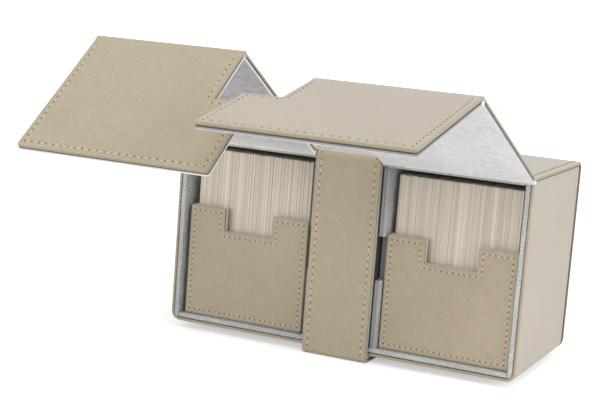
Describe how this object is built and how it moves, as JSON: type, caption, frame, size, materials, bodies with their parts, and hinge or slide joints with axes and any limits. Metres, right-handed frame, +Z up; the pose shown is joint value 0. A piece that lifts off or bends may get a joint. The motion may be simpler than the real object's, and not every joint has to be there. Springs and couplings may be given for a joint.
{
  "type": "double deck card box with drawer",
  "caption": "Leatherette card box for two decks: folding front lids, sliding card holders with thumb notches, and a narrow centre drawer.",
  "frame": {"origin": "on the surface the box stands on, under the drawer front's foot, at the middle of the case's width and in the plane of its open front", "axes": "+X to the right seen from the front, +Y from the open front to the back, +Z up"},
  "size_m": [0.198, 0.2613, 0.1607],
  "materials": {
    "leatherette": "tan leatherette with a fine grain, stitched edges",
    "microfibre": "pale grey microfibre",
    "greyboard": "grey pressed board, hidden inside the leatherette",
    "tray_board": "dark covered board",
    "cards": "edges of sleeved cards",
    "magnet": "nickel-plated disc magnets"
  },
  "bodies": {
    "case": {"shell_skin": "leatherette", "shell_board_left": "greyboard", "shell_board_right": "greyboard", "shell_board_bottom": "greyboard", "liner_left": "microfibre", "liner_right": "microfibre", "liner_floor": "microfibre", "liner_ceiling": "microfibre", "liner_back": "microfibre", "bay_wall_left": "microfibre", "bay_wall_right": "microfibre", "cover_skin": "leatherette", "cover_top_board": "greyboard", "cover_back_board": "greyboard", "base_magnets": "magnet"},
    "left_lid": {"left_lid_crease": "leatherette", "left_lid_skin": "leatherette", "left_lid_board": "greyboard", "left_lid_lining": "microfibre"},
    "left_flap": {"left_flap_crease": "leatherette", "left_flap_skin": "leatherette", "left_flap_board": "greyboard", "left_flap_lining": "microfibre", "left_flap_magnets": "magnet"},
    "right_lid": {"right_lid_crease": "leatherette", "right_lid_skin": "leatherette", "right_lid_board": "greyboard", "right_lid_lining": "microfibre"},
    "right_flap": {"right_flap_crease": "leatherette", "right_flap_skin": "leatherette", "right_flap_board": "greyboard", "right_flap_lining": "microfibre", "right_flap_magnets": "magnet"},
    "drawer": {"drawer_front_skin": "leatherette", "drawer_front_boards": "greyboard", "drawer_front_lining": "microfibre", "drawer_foot_magnet": "magnet", "drawer_tray": "tray_board", "drawer_tray_lining": "microfibre"},
    "left_holder": {"left_holder_box": "leatherette", "left_holder_face": "leatherette", "left_holder_lining": "microfibre", "left_deck": "cards"},
    "right_holder": {"right_holder_box": "leatherette", "right_holder_face": "leatherette", "right_holder_lining": "microfibre", "right_deck": "cards"}
  },
  "joints": [
    {"name": "left_lid_swing", "type": "hinge", "parent": "case", "child": "left_lid", "pos_m": [-0.0572, -0.002, 0.10625], "axis": [-1, 0, 0], "range_deg": [-120.3, 59.7]},
    {"name": "left_flap_fold", "type": "hinge", "parent": "left_lid", "child": "left_flap", "pos_m": [-0.0572, -0.09218, 0.15895], "axis": [-1, 0, 0], "range_deg": [-22.6, 67.4]},
    {"name": "right_lid_swing", "type": "hinge", "parent": "case", "child": "right_lid", "pos_m": [0.0594, -0.002, 0.10625], "axis": [-1, 0, 0], "range_deg": [-115.2, 64.8]},
    {"name": "right_flap_fold", "type": "hinge", "parent": "right_lid", "child": "right_flap", "pos_m": [0.0594, -0.09651, 0.15072], "axis": [-1, 0, 0], "range_deg": [-52.7, 37.3]},
    {"name": "drawer_slide", "type": "slide", "parent": "case", "child": "drawer", "axis": [0, -1, 0], "range_m": [0, 0.075]},
    {"name": "left_holder_slide", "type": "slide", "parent": "case", "child": "left_holder", "axis": [0, -1, 0], "range_m": [0, 0.08]},
    {"name": "right_holder_slide", "type": "slide", "parent": "case", "child": "right_holder", "axis": [0, -1, 0], "range_m": [0, 0.08]}
  ]
}
